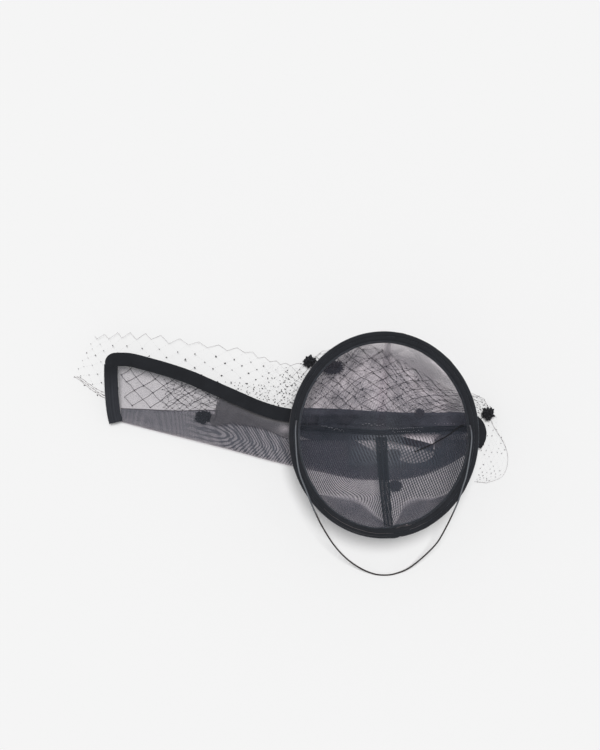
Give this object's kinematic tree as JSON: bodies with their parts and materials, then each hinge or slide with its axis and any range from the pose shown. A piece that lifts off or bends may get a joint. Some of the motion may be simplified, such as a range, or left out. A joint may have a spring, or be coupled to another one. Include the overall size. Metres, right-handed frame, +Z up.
{
  "type": "bow headpiece",
  "caption": "Sheer rounded cap with velvet-bound rim, wired ribbon bow, net veil with tufts and an elastic chin loop, lying with its opening up.",
  "frame": {"origin": "on the flat underside of the bow's waist, under the middle of the crown", "axes": "+Z up out of the cap's opening, +Y towards the cap's front, -X along the bow's long wing"},
  "size_m": [0.3895, 0.2217, 0.0773],
  "materials": {
    "sheer": "stiff black open-weave sheer, slightly glossy",
    "velvet": "black velvet, matte with a soft sheen",
    "net": "fine black thread net",
    "chenille": "black chenille tufts, matte",
    "elastic": "round black braided elastic, satin"
  },
  "bodies": {
    "root": {"crown_front_left": "sheer", "crown_front_right": "sheer", "crown_back_left": "sheer", "crown_back_right": "sheer", "rim_roll": "velvet", "rim_band": "velvet", "cross_seam": "velvet", "back_seam_tape": "velvet", "front_seam_tape": "velvet", "bow_wing": "sheer", "bow_binding": "velvet", "bow_inner_layer": "sheer", "bow_right_layer": "sheer", "bow_strap": "velvet", "bow_waist": "velvet", "veil_net": "net", "tuft_front_left": "chenille", "tuft_front_crown": "chenille", "tuft_right": "chenille", "tuft_under_wing": "chenille", "tuft_on_waist": "chenille", "tuft_in_fold": "chenille", "tuft_back": "chenille", "elastic_loop": "elastic", "elastic_tail": "elastic"}
  },
  "joints": []
}
